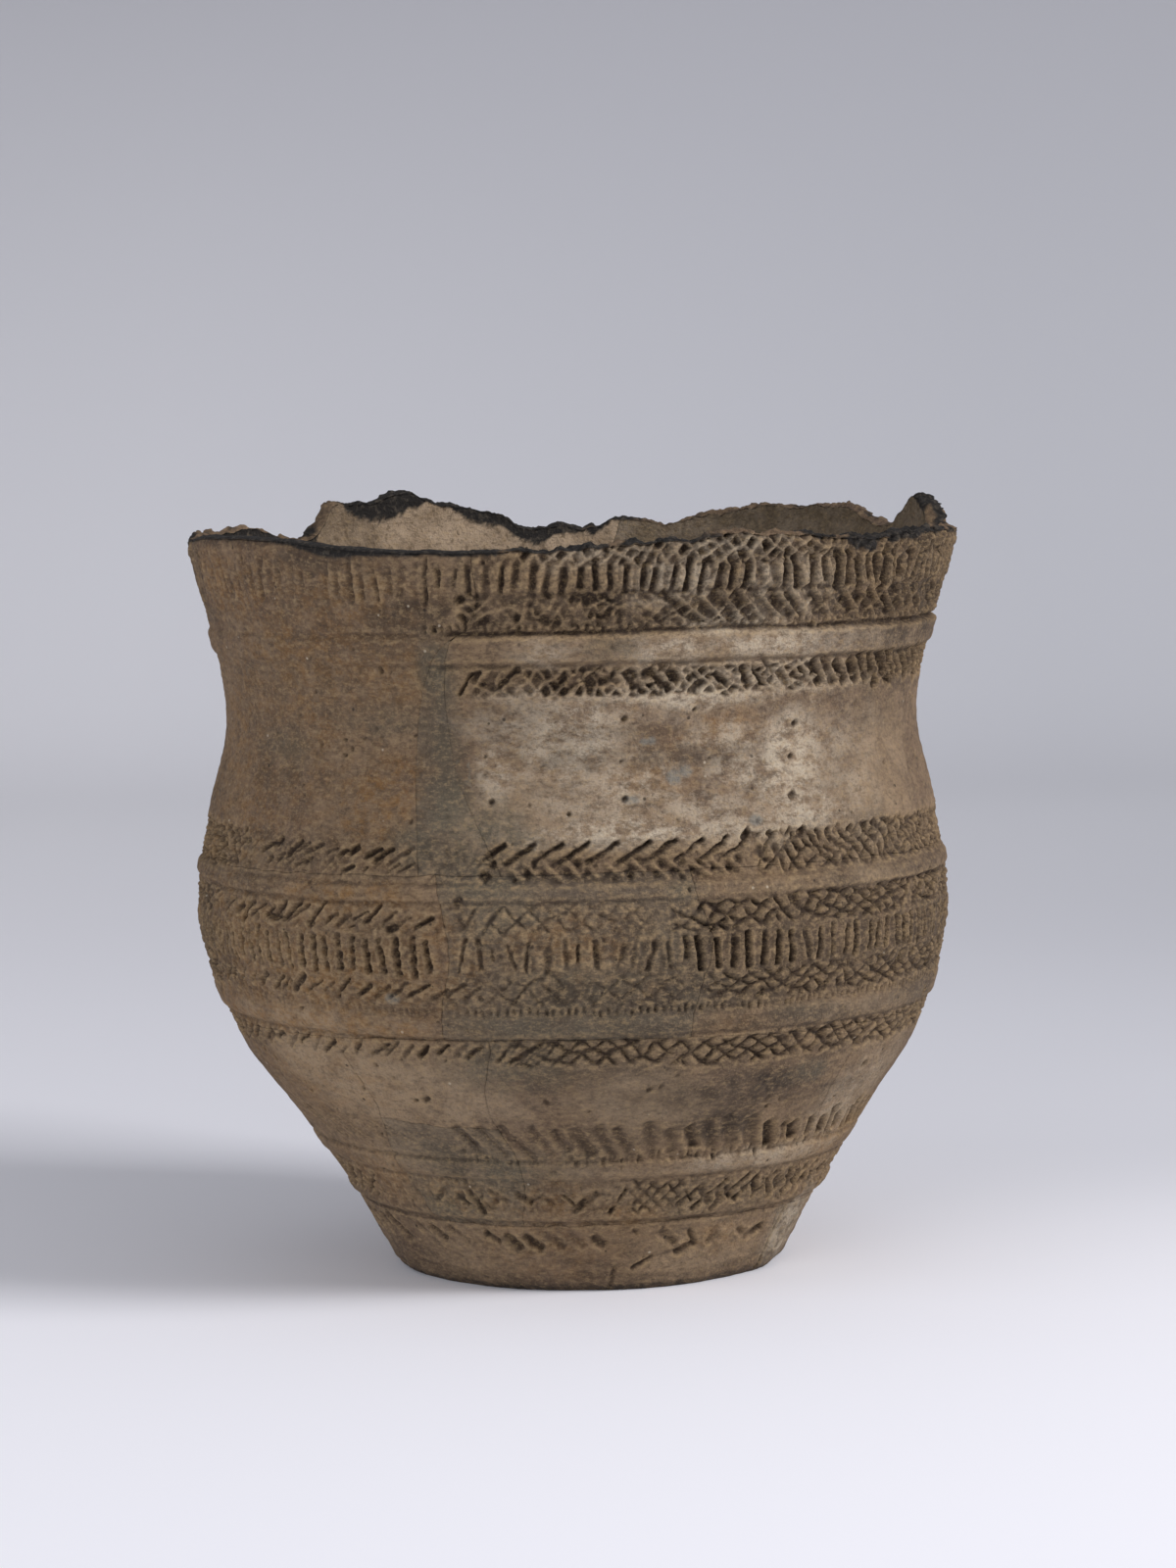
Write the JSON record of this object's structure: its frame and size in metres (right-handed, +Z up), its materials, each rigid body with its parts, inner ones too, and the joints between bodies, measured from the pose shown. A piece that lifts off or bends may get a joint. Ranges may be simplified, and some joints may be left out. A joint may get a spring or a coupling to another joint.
{
  "type": "cord-marked pottery jar",
  "caption": "Hand-built pottery beaker with a short flaring neck and bands of cord impressions, mended from sherds with plaster fills, standing on a flat foot.",
  "frame": {"origin": "centre of the flat foot, on the surface that the jar stands on", "axes": "+Z up through the mouth, -Y towards the front with the large plaster fill, +X to the right of the front"},
  "size_m": [0.1659, 0.1637, 0.1669],
  "materials": {
    "fired_clay": "matte",
    "plaster_fill": "matte"
  },
  "bodies": {
    "root": {"base_slab": "fired_clay", "foot_sherd_front": "fired_clay", "foot_sherd_back_right": "fired_clay", "foot_sherd_left": "fired_clay", "lower_sherd_front": "fired_clay", "lower_sherd_right": "fired_clay", "lower_sherd_back": "fired_clay", "lower_sherd_left": "fired_clay", "lower_sherd_front_left": "fired_clay", "lower_sherd_small": "fired_clay", "belly_sherd_right": "fired_clay", "belly_sherd_back_right": "fired_clay", "belly_sherd_back": "fired_clay", "belly_sherd_back_left": "fired_clay", "belly_sherd_front_left": "fired_clay", "rim_sherd_front": "fired_clay", "rim_sherd_right": "fired_clay", "rim_sherd_back_right": "fired_clay", "rim_sherd_back": "fired_clay", "rim_sherd_back_left": "fired_clay", "rim_sherd_left": "fired_clay", "foot_fill": "plaster_fill", "lower_fill": "plaster_fill", "belly_fill": "plaster_fill", "neck_fill": "plaster_fill"}
  },
  "joints": []
}
